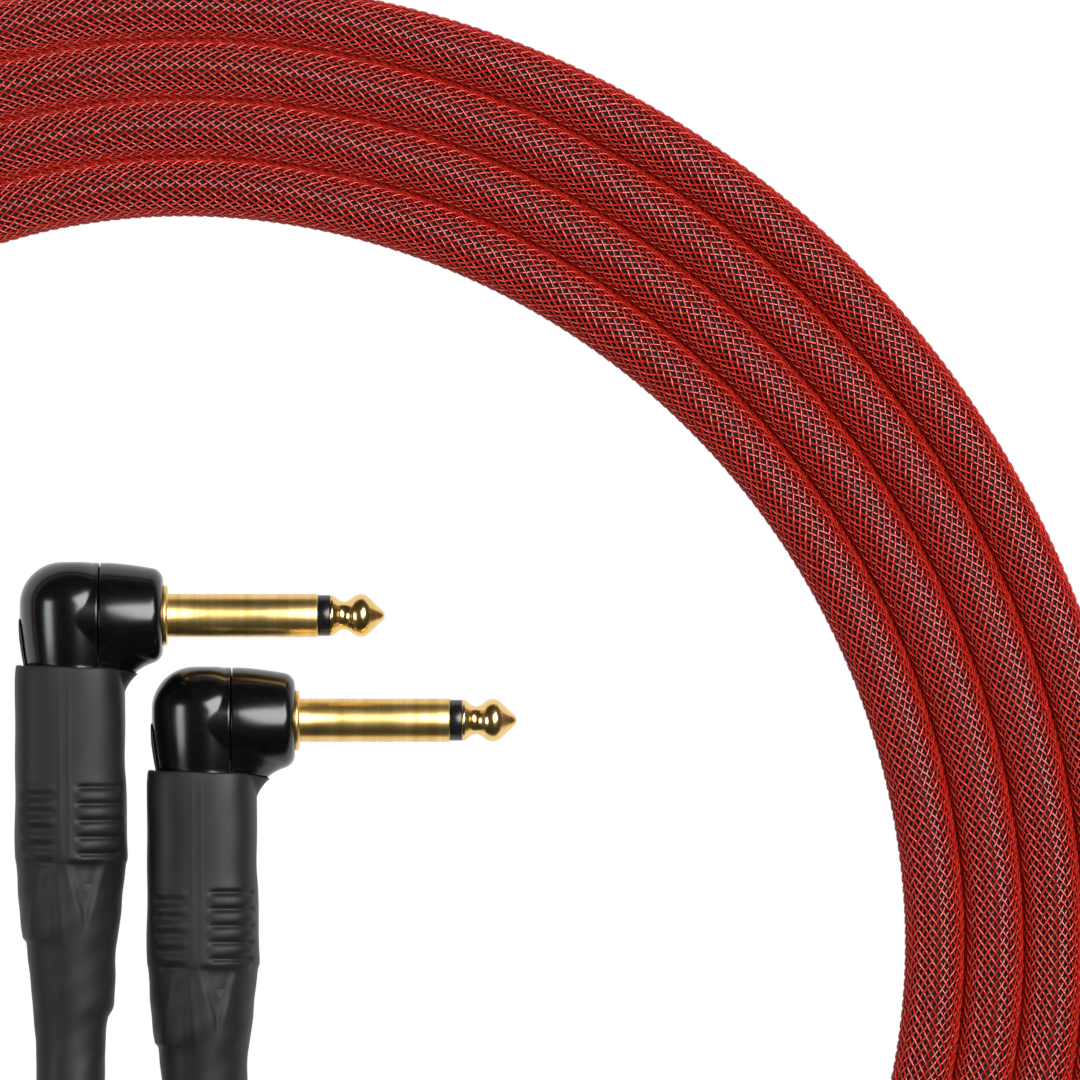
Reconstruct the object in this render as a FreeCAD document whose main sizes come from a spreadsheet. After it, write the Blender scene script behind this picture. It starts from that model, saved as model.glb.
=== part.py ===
import math
import os

import FreeCAD
import Part
import Sketcher

# An instrument cable: a braided cable with a right-angle mono plug of 6.35 mm on each end.
# Millimetres, +Z up, z = 0 is the surface it lies on, and the origin is under the middle of the two
# plugs. Each plug has a frame of its own: its shaft lies along +X, its cable leaves along -Y, and its
# origin is where those two axes cross.

X_AXIS = "H_Axis"
Y_AXIS = "V_Axis"

SIZES = {
    # plug contacts, along X from the crossing of the plug's axes
    "flange_front": 13.9,
    "flange_thick": 0.66,
    "flange_radius": 4.4,
    "shaft_radius": 3.175,
    "shaft_bore": 2.1,
    "sleeve_end": 36.03,
    "ring_end": 37.84,
    "ring_radius": 3.0,
    "rod_radius": 1.3,
    "rod_back": 3.0,
    "collar_end": 38.2,
    "collar_round": 0.5,
    "neck_at": 39.85,
    "neck_radius": 2.05,
    "ball_at": 42.35,
    "ball_radius": 3.15,
    "ball_rise": 1.1,
    "ball_drop": 0.25,
    "cone_at": 43.5,
    "cone_radius": 2.75,
    "nose_radius": 0.65,
    "tip_end": 45.88,
    "spigot_back": 8.0,
    "spigot_radius": 3.7,
    "insulator_back": 6.4,
    # solder tabs behind the contacts
    "tab_length": 4.6,
    "tab_half_width": 1.5,
    "tab_half_thick": 0.25,
    "eye_near": 0.8,
    "eye_far": 2.0,
    "eye_half": 0.5,
    "washer_thick": 0.5,
    "washer_radius": 4.6,
    "lug_top": 4.2,
    "lug_step": 4.9,
    "lug_foot": 5.4,
    "lug_reach": 4.1,
    "lug_half": 1.3,
    # housings
    "elbow_radius": 7.8,
    "elbow_round": 6.3,
    "seam_at": 3.97,
    "barrel_face_radius": 6.1,
    "barrel_round": 1.4,
    "barrel_edge": 0.4,
    "barrel_bend": 3.6,
    "barrel_swell": 0.75,
    "neck_tube_radius": 6.9,
    "neck_tube_end": 9.4,
    "waist_at": -0.8,
    "wall": 1.4,
    "elbow_wall": 2.6,
    "hollow_top": 4.4,
    "front_neck_top": 3.0,
    "spigot_seat": 0.6,
    "past": 1.0,
    "tongue_gap": 0.03,
    "tongue_top": 0.25,
    "tongue_foot": 0.5,
    "tongue_half": 1.6,
    "web_half": 3.4,
    "web_near": 6.2,
    "web_top": 4.5,
    "web_far_top": 5.0,
    "web_front": 0.5,
    "web_foot": 2.0,
    "liner_gap": 0.15,
    "liner_wall": 0.3,
    "liner_top": 5.6,
    # boot, heat-shrink sleeve and the parts held in them, along -Y
    "sleeve_top": 7.28,
    "sleeve_length": 68.0,
    "sleeve_wall": 0.5,
    "grip_radius": 7.6,
    "grip_end": 39.5,
    "shoulder_at": 47.7,
    "shoulder_radius": 6.6,
    "taper_at": 54.5,
    "taper_radius": 6.0,
    "tail_at": 62.4,
    "tail_radius": 5.08,
    "boot_top": 9.5,
    "boot_end": 54.0,
    "fit_gap": 0.1,
    "chuck_top": 11.5,
    "chuck_end": 24.0,
    "chuck_radius": 5.7,
    "chuck_slot": 1.2,
    "chuck_collar": 3.0,
    "rib_first": 25.1,
    "rib_step": 2.44,
    "rib_depth": 0.55,
    "rib_half": 0.5,
    "rib_over": 0.2,
    # cable
    "cable_radius": 4.35,
    "jacket_end": 14.0,
    "core_radius": 1.45,
    "core_end": 3.2,
    "wire_radius": 0.45,
    "wire_top": 1.5,
    "shield_radius": 0.8,
    "shield_aside": 3.1,
    # coil
    "coil_radius": 113.5,
    "coil_strands": 4.0,
    "coil_flat": 45.0,
    "coil_flat_at": 222.0,
    # places of the plugs
    "plug_a_x": -28.62,
    "plug_a_y": 41.45,
    "plug_step_x": 19.4,
    "plug_step_y": 15.4,
    "coil_from_plug_x": 13.53,
    "coil_from_plug_y": 49.93,
}

HALF_TURN_SHARE = 0.707  # of a radius, half way round a quarter circle
RIBS = 5
COIL_POINTS = 36
ARC_SHARE = 0.45  # of a straight run, given up to the arc at each of its ends
TUBE_ERROR = 0.01  # the most that a cord's volume may differ from its length times its section
PRESS_FROM = 0.1  # how far round from the pressed side the coil starts to leave its circle

doc = FreeCAD.newDocument("instrument_cable")
sheet = doc.addObject("Spreadsheet::Sheet", "Sizes")
for row, (alias, value) in enumerate(SIZES.items(), start=1):
    sheet.set(f"A{row}", alias)
    sheet.set(f"B{row}", str(value))
    sheet.setAlias(f"B{row}", alias)
doc.recompute()


class Size:
    """A length with the expression that ties it to the sheet, so that both are worked out together."""

    def __init__(self, text, value):
        self.text = text
        self.value = value

    def __add__(self, other):
        other = size(other)
        return Size(f"({self.text} + {other.text})", self.value + other.value)

    def __sub__(self, other):
        other = size(other)
        return Size(f"({self.text} - {other.text})", self.value - other.value)

    def __mul__(self, number):
        return Size(f"({self.text} * {number})", self.value * number)

    def __neg__(self):
        return self * -1


def size(what):
    """The Size of an alias in the sheet, of a plain number, or of a Size."""
    if isinstance(what, Size):
        return what
    if isinstance(what, str):
        return Size(f"Sizes.{what}", float(getattr(sheet, what)))
    return Size(str(what), float(what))


def millimetres(what):
    return size(what).value


# ---------------------------------------------------------------- bodies and sketches

sub_parts = []


def new_body(name, plug):
    """A body named after its plug, standing where that plug is."""
    body = doc.addObject("PartDesign::Body", f"{name}_{plug.letter}")
    body.Label = f"{name}_{plug.letter}"
    body.setExpression("Placement.Base.x", plug.x.text)
    body.setExpression("Placement.Base.y", plug.y.text)
    body.setExpression("Placement.Base.z", size("elbow_radius").text)
    sub_parts.append(body)
    return body


def plane(body, role):
    return [f for f in body.Origin.OriginFeatures if f.Role == role][0]


def sketch_on(body, name, role="XY_Plane"):
    sketch = body.newObject("Sketcher::SketchObject", f"{name}_{body.Name}")
    sketch.AttachmentSupport = [(plane(body, role), "")]
    sketch.MapMode = "FlatFace"
    return sketch


def pin(sketch, edge, end, corner):
    """Ties one end of an edge to the sheet, by its distances from the sketch's origin."""
    for kind, place in (("DistanceX", size(corner[0])), ("DistanceY", size(corner[1]))):
        index = sketch.addConstraint(Sketcher.Constraint(kind, -1, 1, edge, end, place.value))
        sketch.setExpression(f"Constraints[{index}]", place.text)


def outline(body, name, corners, role="XY_Plane"):
    """A closed outline of straight edges through corners, each tied to the sheet."""
    sketch = sketch_on(body, name, role)
    spots = [FreeCAD.Vector(millimetres(x), millimetres(y), 0) for x, y in corners]
    for i, spot in enumerate(spots):
        sketch.addGeometry(Part.LineSegment(spot, spots[(i + 1) % len(spots)]), False)
    for i in range(len(spots)):
        after = (i + 1) % len(spots)
        sketch.addConstraint(Sketcher.Constraint("Coincident", i, 2, after, 1))
        pin(sketch, i, 1, corners[i])
    return sketch


def turn(body, name, corners, axis, cut=False):
    """Turns an outline right round the sketch's axis, as material or as a cut."""
    kind = "PartDesign::Groove" if cut else "PartDesign::Revolution"
    sketch = outline(body, f"{name}_outline", corners)
    feature = body.newObject(kind, f"{name}_{body.Name}")
    feature.Profile = sketch
    feature.ReferenceAxis = (sketch, [axis])
    feature.Angle = 360.0
    return feature


def pad(body, name, corners, half, role="XY_Plane"):
    feature = body.newObject("PartDesign::Pad", f"{name}_{body.Name}")
    feature.Profile = outline(body, f"{name}_outline", corners, role)
    feature.Midplane = True
    feature.setExpression("Length", (size(half) * 2).text)
    return feature


def pocket(body, name, corners, half, role="XY_Plane"):
    feature = body.newObject("PartDesign::Pocket", f"{name}_{body.Name}")
    feature.Profile = outline(body, f"{name}_outline", corners, role)
    feature.Midplane = True
    feature.setExpression("Length", (size(half) * 2).text)
    return feature


def rectangle(left, low, right, high):
    return [(left, low), (right, low), (right, high), (left, high)]


def tube(body, name, near, far, inner, outer, axis):
    """A plain tube along one axis; an inner radius of zero makes it a rod."""
    if axis == X_AXIS:
        corners = rectangle(near, inner, far, outer)
    else:
        corners = rectangle(inner, near, outer, far)
    return turn(body, name, corners, axis)


# ---------------------------------------------------------------- contacts

def make_tip_contact(plug):
    """The tip: a collar, a waist that the jack's spring drops into, a ball and a blunt nose."""
    body = new_body("tip_contact", plug)
    corners = [
        ("rod_back", 0),
        ("tip_end", 0),
        ("tip_end", "nose_radius"),
        ("cone_at", "cone_radius"),
        ("ball_at", "ball_radius"),
        (size("ball_at") - size("ball_rise"), size("ball_radius") - size("ball_drop")),
        ("neck_at", "neck_radius"),
        (size("collar_end") + size("collar_round"), size("ring_radius") - size("collar_round")),
        ("collar_end", "ring_radius"),
        ("ring_end", "ring_radius"),
        ("ring_end", "rod_radius"),
        ("rod_back", "rod_radius"),
    ]
    turn(body, "tip", corners, X_AXIS)


def make_tip_insulator(plug):
    body = new_body("tip_insulator_ring", plug)
    tube(body, "ring", "sleeve_end", "ring_end", "rod_radius", "ring_radius", X_AXIS)


def make_inner_insulator(plug):
    body = new_body("inner_insulator_tube", plug)
    tube(body, "insulator", "insulator_back", "sleeve_end", "rod_radius", "shaft_bore", X_AXIS)


def make_sleeve_contact(plug):
    """The shaft, its shoulder flange and the spigot that the front housing grips."""
    body = new_body("sleeve_contact", plug)
    flange_back = size("flange_front") - size("flange_thick")
    corners = [
        ("spigot_back", "shaft_bore"),
        ("sleeve_end", "shaft_bore"),
        ("sleeve_end", "shaft_radius"),
        ("flange_front", "shaft_radius"),
        ("flange_front", "flange_radius"),
        (flange_back, "flange_radius"),
        (flange_back, "spigot_radius"),
        ("spigot_back", "spigot_radius"),
    ]
    turn(body, "shaft", corners, X_AXIS)


def make_tip_terminal(plug):
    """The solder tab riveted to the back of the tip rod."""
    body = new_body("tip_terminal", plug)
    near = size("rod_back") - size("tab_length")
    side = size("tab_half_width")
    pad(body, "tab", rectangle(near, -side, "rod_back", side), "tab_half_thick")
    side = size("eye_half")
    eye = rectangle(near + size("eye_near"), -side, near + size("eye_far"), side)
    pocket(body, "eye", eye, "past")


def make_ground_lug(plug):
    """The washer behind the spigot, with the tab that the shield is soldered to."""
    body = new_body("ground_lug", plug)
    back = size("spigot_back") - size("washer_thick")
    tube(body, "washer", back, "spigot_back", "shaft_bore", "washer_radius", X_AXIS)
    corners = [
        (back, -size("lug_top")),
        ("spigot_back", -size("lug_top")),
        ("spigot_back", -size("lug_foot")),
        (back - size("lug_reach"), -size("lug_foot")),
        (back - size("lug_reach"), -size("lug_step")),
        (back, -size("lug_step")),
    ]
    pad(body, "tab", corners, "lug_half")


# ---------------------------------------------------------------- housings

def make_rear_housing(plug):
    """The back half of the elbow: a domed upright cylinder with the stub of the barrel."""
    body = new_body("rear_housing", plug)
    bore = size("neck_tube_radius") - size("wall")
    dome = size("elbow_radius") - size("elbow_round")
    rise = size("elbow_round") * HALF_TURN_SHARE
    upright = [
        (0, -size("neck_tube_end")),
        ("neck_tube_radius", -size("neck_tube_end")),
        ("neck_tube_radius", -size("sleeve_top")),
        ("elbow_radius", "waist_at"),
        ("elbow_radius", dome),
        (dome + rise, dome + rise),
        (dome, "elbow_radius"),
        (0, "elbow_radius"),
    ]
    turn(body, "upright", upright, Y_AXIS)
    tube(body, "stub", 0, "seam_at", 0, "elbow_radius", X_AXIS)
    far = size("elbow_radius") + size("past")
    low = -size("neck_tube_end") - size("past")
    pocket(body, "seam", rectangle("seam_at", low, size("flange_front"), far), far)
    turn(body, "upright_hollow", rectangle(0, low, bore, "hollow_top"), Y_AXIS, cut=True)
    inside = size("elbow_radius") - size("elbow_wall")
    stub_hollow = rectangle(0, 0, size("seam_at") + size("past"), inside)
    turn(body, "stub_hollow", stub_hollow, X_AXIS, cut=True)


def make_front_housing(plug):
    """The front half: a barrel that narrows to its face, the other half of the neck and a web."""
    body = new_body("front_housing", plug)
    face = size("flange_front") - size("flange_thick")
    barrel = [
        ("seam_at", 0),
        (face, 0),
        (face, size("barrel_face_radius") - size("barrel_round")),
        (face - size("barrel_edge"), size("barrel_face_radius") - size("barrel_edge")),
        (face - size("barrel_round"), "barrel_face_radius"),
        (face - size("barrel_bend"), size("barrel_face_radius") + size("barrel_swell")),
        ("seam_at", "elbow_radius"),
    ]
    turn(body, "barrel", barrel, X_AXIS)
    tube(body, "neck", -size("neck_tube_end"), -size("front_neck_top"), 0, "neck_tube_radius", Y_AXIS)
    web = [
        ("web_near", -size("web_top")),
        (face - size("web_front"), -size("web_far_top")),
        (face - size("web_foot"), -size("sleeve_top")),
        ("web_near", -size("sleeve_top")),
    ]
    pad(body, "web", web, "web_half")
    far = size("elbow_radius") + size("past")
    low = -size("neck_tube_end") - size("past")
    pocket(body, "seam", rectangle(-far, low, "seam_at", far), far)
    bore = size("neck_tube_radius") - size("wall")
    turn(body, "neck_hollow", rectangle(0, low, bore, 0), Y_AXIS, cut=True)
    back = size("spigot_back") + size("spigot_seat")
    inside = size("elbow_radius") - size("elbow_wall")
    ahead = face + size("past")
    barrel_hollow = [
        (0, 0),
        (ahead, 0),
        (ahead, "spigot_radius"),
        (back, "spigot_radius"),
        (back, inside),
        (0, inside),
    ]
    turn(body, "barrel_hollow", barrel_hollow, X_AXIS, cut=True)


def make_insulating_liner(plug):
    """The thin tube that keeps the solder joints off the housing."""
    body = new_body("insulating_liner", plug)
    radius = size("neck_tube_radius") - size("wall") - size("liner_gap")
    inner = radius - size("liner_wall")
    tube(body, "liner", -size("neck_tube_end"), -size("liner_top"), inner, radius, Y_AXIS)


def make_retaining_tongue(plug):
    """The thin tongue on the back of the elbow, tucked into the heat-shrink sleeve."""
    body = new_body("retaining_tongue", plug)
    top = -size("elbow_radius")
    foot = -size("neck_tube_radius")
    low = size("fit_gap") - size("sleeve_top")
    corners = [
        (top - size("tongue_gap"), "waist_at"),
        (top - size("tongue_top"), "waist_at"),
        (foot - size("tongue_foot"), low),
        (foot - size("tongue_gap"), low),
    ]
    pad(body, "tongue", corners, "tongue_half")


# ---------------------------------------------------------------- boot, sleeve and clamp

def make_cable_chuck(plug):
    """The split collet that grips the jacket when the boot is screwed up."""
    body = new_body("cable_chuck", plug)
    tube(body, "chuck", -size("chuck_end"), -size("chuck_top"), "cable_radius", "chuck_radius", Y_AXIS)
    far = size("chuck_radius") + size("past")
    low = -size("chuck_end") - size("past")
    high = -size("chuck_top") - size("chuck_collar")
    pocket(body, "slot", rectangle(-far, low, far, high), size("chuck_slot") * 0.5)


def make_boot(plug):
    """The ribbed boot: a nut over the chuck and a tapered strain relief on the cable."""
    body = new_body("boot", plug)
    skin = size("sleeve_wall") + size("fit_gap")
    seat = size("chuck_radius") + size("fit_gap")
    hole = size("cable_radius") + size("fit_gap")
    corners = [
        (seat, -size("boot_top")),
        (size("grip_radius") - skin, -size("boot_top")),
        (size("grip_radius") - skin, -size("grip_end")),
        (size("shoulder_radius") - skin, -size("shoulder_at")),
        (size("taper_radius") - skin, -size("boot_end")),
        (hole, -size("boot_end")),
        (hole, -size("chuck_end") - size("fit_gap")),
        (seat, -size("chuck_end") - size("fit_gap")),
    ]
    turn(body, "boot", corners, Y_AXIS)
    rim = size("grip_radius") - skin
    first = -size("rib_first")
    groove = [
        (rim - size("rib_depth"), first),
        (rim + size("rib_over"), first - size("rib_half")),
        (rim + size("rib_over"), first + size("rib_half")),
    ]
    cut = turn(body, "rib_groove", groove, Y_AXIS, cut=True)
    rows = body.newObject("PartDesign::LinearPattern", f"ribs_{body.Name}")
    rows.Originals = [cut]
    rows.Direction = (cut.Profile[0], [Y_AXIS])
    rows.Reversed = True
    rows.setExpression("Length", (size("rib_step") * (RIBS - 1)).text)
    rows.Occurrences = RIBS
    body.Tip = rows


def make_heat_shrink_sleeve(plug):
    """The sleeve shrunk over the neck, the boot and the first of the cable."""
    body = new_body("heat_shrink_sleeve", plug)
    end = size("sleeve_top") + size("sleeve_length")
    steps = [
        ("sleeve_top", "grip_radius"),
        ("grip_end", "grip_radius"),
        ("shoulder_at", "shoulder_radius"),
        ("taper_at", "taper_radius"),
        ("tail_at", "tail_radius"),
        (end, "tail_radius"),
    ]
    outside = [(radius, -size(along)) for along, radius in steps]
    inside = [(size(radius) - size("sleeve_wall"), -size(along)) for along, radius in steps]
    turn(body, "sleeve", outside + inside[::-1], Y_AXIS)


# ---------------------------------------------------------------- the cable's stripped end

def make_cable_end(plug):
    """The braided cable inside the sleeve, boot and chuck, as far as its cut jacket."""
    body = new_body("cable_end", plug)
    end = size("sleeve_top") + size("sleeve_length")
    tube(body, "jacket", -end, -size("jacket_end"), 0, "cable_radius", Y_AXIS)


def make_core(plug):
    body = new_body("core_insulation", plug)
    tube(body, "core", -size("jacket_end"), -size("core_end"), 0, "core_radius", Y_AXIS)


def make_conductor(plug):
    body = new_body("centre_conductor", plug)
    tube(body, "wire", -size("core_end"), -size("wire_top"), 0, "wire_radius", Y_AXIS)


def make_shield(plug):
    """The shield, twisted into one tail that runs up to the ground lug's tab."""
    body = new_body("shield_pigtail", plug)
    tail = sketch_on(body, "tail_section", "XZ_Plane")
    centre = FreeCAD.Vector(millimetres("shield_aside"), 0, 0)
    tail.addGeometry(Part.Circle(centre, FreeCAD.Vector(0, 0, 1), millimetres("shield_radius")), False)
    across = tail.addConstraint(Sketcher.Constraint("DistanceX", -1, 1, 0, 3, millimetres("shield_aside")))
    tail.setExpression(f"Constraints[{across}]", size("shield_aside").text)
    tail.addConstraint(Sketcher.Constraint("PointOnObject", 0, 3, -1))
    round_ = tail.addConstraint(Sketcher.Constraint("Radius", 0, millimetres("shield_radius")))
    tail.setExpression(f"Constraints[{round_}]", size("shield_radius").text)
    rise = size("jacket_end") - size("lug_foot")
    start = FreeCAD.Vector(0, 0, millimetres("jacket_end"))
    tail.AttachmentOffset = FreeCAD.Placement(start, FreeCAD.Rotation())
    tail.setExpression("AttachmentOffset.Base.z", size("jacket_end").text)
    feature = body.newObject("PartDesign::Pad", f"tail_{body.Name}")
    feature.Profile = tail
    feature.Reversed = True
    feature.setExpression("Length", rise.text)


# ---------------------------------------------------------------- the cable outside the plugs

def shown(name, shape):
    """A plain feature for a shape that no body feature makes as simply."""
    feature = doc.addObject("Part::Feature", name)
    feature.Shape = shape
    feature.Label = name
    sub_parts.append(feature)
    return feature


def corner_arc(before, corner, after):
    """The largest arc that its share of the shorter run beside a corner allows."""
    back = before - corner
    ahead = after - corner
    reach = ARC_SHARE * min(back.Length, ahead.Length)
    back.normalize()
    ahead.normalize()
    half_turn = (math.pi - back.getAngle(ahead)) / 2
    radius = reach / math.tan(half_turn)
    inward = back + ahead
    inward.normalize()
    centre = corner + inward * (radius / math.cos(half_turn))
    middle = centre - inward * radius
    return corner + back * reach, middle, corner + ahead * reach, radius


def cord_tube(name, route):
    """A round tube along straight runs joined by tangent arcs; its volume is compared with its length."""
    spots = [FreeCAD.Vector(*spot) for spot in route]
    edges = []
    radii = []
    at = spots[0]
    for before, corner, after in zip(spots, spots[1:], spots[2:]):
        start, middle, end, radius = corner_arc(before, corner, after)
        edges.append(Part.LineSegment(at, start).toShape())
        edges.append(Part.Arc(start, middle, end).toShape())
        radii.append(round(radius, 1))
        at = end
    edges.append(Part.LineSegment(at, spots[-1]).toShape())
    path = Part.Wire(edges)
    radius = millimetres("cable_radius")
    ring = Part.Wire([Part.Circle(spots[0], spots[1] - spots[0], radius).toShape()])
    solid = path.makePipeShell([ring], True, False)
    expected = math.pi * radius**2 * path.Length
    print(name, "length", round(path.Length, 1), "radii", radii)
    assert abs(solid.Volume / expected - 1) < TUBE_ERROR, name
    return shown(name, solid)


def coil_radius(degrees, lane):
    """The centre line of one strand: a circle, pressed flatter on the side where both leads join it."""
    away = math.cos(math.radians(degrees - millimetres("coil_flat_at")))
    press = max(0.0, ((1 + away) / 2 - PRESS_FROM) / (1 - PRESS_FROM)) ** 2
    strand = millimetres("coil_radius") + lane * 2 * millimetres("cable_radius")
    return strand - millimetres("coil_flat") * press


def coil_edge(lane, centre):
    """One edge of the coil as a closed smooth wire on the surface."""
    spots = []
    for step in range(COIL_POINTS):
        degrees = 360 * step / COIL_POINTS
        radius = coil_radius(degrees, lane)
        turn_by = math.radians(degrees)
        spots.append(centre + FreeCAD.Vector(radius * math.cos(turn_by), radius * math.sin(turn_by), 0))
    curve = Part.BSplineCurve()
    curve.interpolate(Points=spots, PeriodicFlag=True)
    return Part.Wire([curve.toShape()])


def make_coil(centre):
    """The outer shape of the flat coil: its strands lie side by side on the surface."""
    outer = coil_edge(millimetres("coil_strands") - 0.5, centre)
    inner = coil_edge(-0.5, centre)
    ring = Part.Face([outer, inner])
    ring.validate()
    return shown("cable_coil", ring.extrude(FreeCAD.Vector(0, 0, 2 * millimetres("cable_radius"))))


class Plug:
    """Which plug a sub-part belongs to, and where that plug's axes cross."""

    def __init__(self, letter, x, y):
        self.letter = letter
        self.x = x
        self.y = y

    def cable_exit(self):
        end = millimetres("sleeve_top") + millimetres("sleeve_length")
        return (self.x.value, self.y.value - end, millimetres("elbow_radius"))


plug_a = Plug("a", size("plug_a_x"), size("plug_a_y"))
plug_b = Plug("b", size("plug_a_x") + size("plug_step_x"), size("plug_a_y") - size("plug_step_y"))


MAKERS = (
    make_tip_contact,
    make_tip_insulator,
    make_inner_insulator,
    make_sleeve_contact,
    make_tip_terminal,
    make_ground_lug,
    make_rear_housing,
    make_front_housing,
    make_insulating_liner,
    make_retaining_tongue,
    make_cable_chuck,
    make_boot,
    make_heat_shrink_sleeve,
    make_cable_end,
    make_core,
    make_conductor,
    make_shield,
)
for plug in (plug_a, plug_b):
    for make in MAKERS:
        make(plug)

# Lead A runs from its plug down and round into the coil's innermost strand. Both leads bend at about
# 40 mm, some five times the cable's width, which this cable takes without a kink.
LEAD_A = [
    plug_a.cable_exit(),
    (-28.6, -46.5, 6.6),
    (-26.6, -61.0, 4.7),
    (-20.1, -75.0, 4.35),
    (-9.6, -86.5, 4.35),
    (4.4, -94.0, 4.35),
    (19.9, -96.7, 4.35),
]
# Lead B leaves the outermost strand, climbs over the other three and lead A, and comes up to its plug.
LEAD_B = [
    (-102.1, -63.8, 4.35),
    (-92.8, -78.1, 4.35),
    (-82.7, -90.1, 4.9),
    (-69.1, -98.0, 7.2),
    (-53.7, -100.7, 11.4),
    (-38.2, -98.0, 14.1),
    (-24.6, -90.1, 14.2),
    (-14.5, -78.1, 14.3),
    (-9.2, -63.3, 10.6),
    plug_b.cable_exit(),
]
cord_tube("cable_lead_a", LEAD_A)
cord_tube("cable_lead_b", LEAD_B)
coil_centre = FreeCAD.Vector(
    plug_a.x.value + millimetres("coil_from_plug_x"),
    plug_a.y.value - millimetres("coil_from_plug_y"),
    0,
)
make_coil(coil_centre)

doc.recompute()

# ---------------------------------------------------------------- checks and export

CUTS = ("PartDesign::Groove", "PartDesign::Pocket", "PartDesign::LinearPattern")
LEAST_CUT = 0.5  # cubic millimetres

for item in doc.Objects:
    bad = [state for state in item.State if state in ("Invalid", "Error")]
    assert not bad, (item.Name, item.State)
    if item.TypeId in CUTS:
        removed = item.BaseFeature.Shape.Volume - item.Shape.Volume
        assert removed > LEAST_CUT, (item.Name, removed)
for part in sub_parts:
    shape = part.Shape
    assert not shape.isNull() and shape.isValid() and shape.Volume > 0, part.Label
    assert len(shape.Solids) == 1, (part.Label, len(shape.Solids))

os.makedirs("parts", exist_ok=True)
for part in sub_parts:
    part.Shape.exportStep(f"parts/{part.Label}.step")
print(len(sub_parts), "sub-parts")
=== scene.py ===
import math

import bpy
import numpy as np
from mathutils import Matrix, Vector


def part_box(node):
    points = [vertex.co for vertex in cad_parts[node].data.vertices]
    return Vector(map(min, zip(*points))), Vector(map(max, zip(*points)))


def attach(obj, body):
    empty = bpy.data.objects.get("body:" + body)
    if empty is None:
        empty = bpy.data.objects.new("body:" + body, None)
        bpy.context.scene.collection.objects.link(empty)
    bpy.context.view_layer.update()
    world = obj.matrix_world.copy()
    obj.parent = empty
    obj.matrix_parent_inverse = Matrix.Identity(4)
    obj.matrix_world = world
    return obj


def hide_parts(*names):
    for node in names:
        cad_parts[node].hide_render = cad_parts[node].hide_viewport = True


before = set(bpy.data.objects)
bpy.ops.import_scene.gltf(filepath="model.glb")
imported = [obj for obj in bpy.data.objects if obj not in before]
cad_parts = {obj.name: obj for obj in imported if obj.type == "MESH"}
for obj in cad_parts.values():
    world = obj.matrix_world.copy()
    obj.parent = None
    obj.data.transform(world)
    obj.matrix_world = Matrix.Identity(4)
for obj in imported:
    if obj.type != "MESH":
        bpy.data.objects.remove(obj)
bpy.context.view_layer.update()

MM = 0.001


def node_centre(name):
    low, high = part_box(name)
    return (np.array(low) + np.array(high)) / 2


# ---------------------------------------------------------------- places read from the frame

AXIS_HEIGHT = float(node_centre("sleeve_contact_a")[2])
PLUGS = {
    letter: np.array(
        [node_centre(f"boot_{letter}")[0], node_centre(f"tip_contact_{letter}")[1], AXIS_HEIGHT])
    for letter in "ab"
}
SLEEVE_END = {letter: float(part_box(f"heat_shrink_sleeve_{letter}")[0][1]) for letter in "ab"}
COIL_CENTRE = PLUGS["a"] + np.array([13.53, -49.93, -AXIS_HEIGHT / MM]) * MM

CABLE_RADIUS = 4.35 * MM
COIL_RADIUS = 113.5 * MM
COIL_FLAT = 45.0 * MM
COIL_FLAT_AT = 222.0


# ---------------------------------------------------------------- camera

VIEW_WIDTH = 158.8 * MM
VIEW_CENTRE = COIL_CENTRE + np.array([55.15, 61.03, 0.0]) * MM
CAMERA_HEIGHT = 1.6
SENSOR_MM = 36.0

camera_data = bpy.data.cameras.new("camera")
camera_data.sensor_width = SENSOR_MM
camera_data.lens = SENSOR_MM * CAMERA_HEIGHT / VIEW_WIDTH
camera_data.clip_start = 0.05
camera_data.clip_end = 20.0
camera = bpy.data.objects.new("camera", camera_data)
camera.location = (VIEW_CENTRE[0], VIEW_CENTRE[1], CAMERA_HEIGHT + AXIS_HEIGHT)
bpy.context.collection.objects.link(camera)
bpy.context.scene.camera = camera


# ---------------------------------------------------------------- mesh helpers

def link(name, mesh, body="root"):
    piece = bpy.data.objects.new(name, mesh)
    bpy.context.collection.objects.link(piece)
    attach(piece, body)
    return piece


def mesh_of_quads(name, points, quads, smooth=True):
    """A mesh from points (n, 3) and quads (m, 4), both as arrays."""
    mesh = bpy.data.meshes.new(name)
    mesh.vertices.add(len(points))
    mesh.vertices.foreach_set("co", np.ascontiguousarray(points, dtype=np.float32).ravel())
    mesh.loops.add(quads.size)
    mesh.loops.foreach_set("vertex_index", np.ascontiguousarray(quads, dtype=np.int32).ravel())
    mesh.polygons.add(len(quads))
    mesh.polygons.foreach_set("loop_start", np.arange(0, quads.size, 4, dtype=np.int32))
    mesh.polygons.foreach_set("use_smooth", np.full(len(quads), smooth))
    mesh.update(calc_edges=True)
    return mesh


def tube_quads(rows, columns, offset=0, wrap_rows=False):
    """The quads of a grid of rows whose columns close on themselves."""
    last = rows if wrap_rows else rows - 1
    row = np.arange(last)[:, None]
    column = np.arange(columns)[None, :]
    after = (row + 1) % rows
    beside = (column + 1) % columns
    near = [row * columns + column, row * columns + beside]
    far = [after * columns + beside, after * columns + column]
    return np.stack(np.broadcast_arrays(*near, *far), axis=-1).reshape(-1, 4) + offset


def skin(name, rings, wrap_rows=False, place=None):
    """A mesh through rings (rows, columns, 3) in millimetres, set at a place in metres."""
    rows, columns = rings.shape[:2]
    points = rings.reshape(-1, 3) * MM
    if place is not None:
        points = points + place
    return mesh_of_quads(name, points, tube_quads(rows, columns, wrap_rows=wrap_rows))


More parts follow.
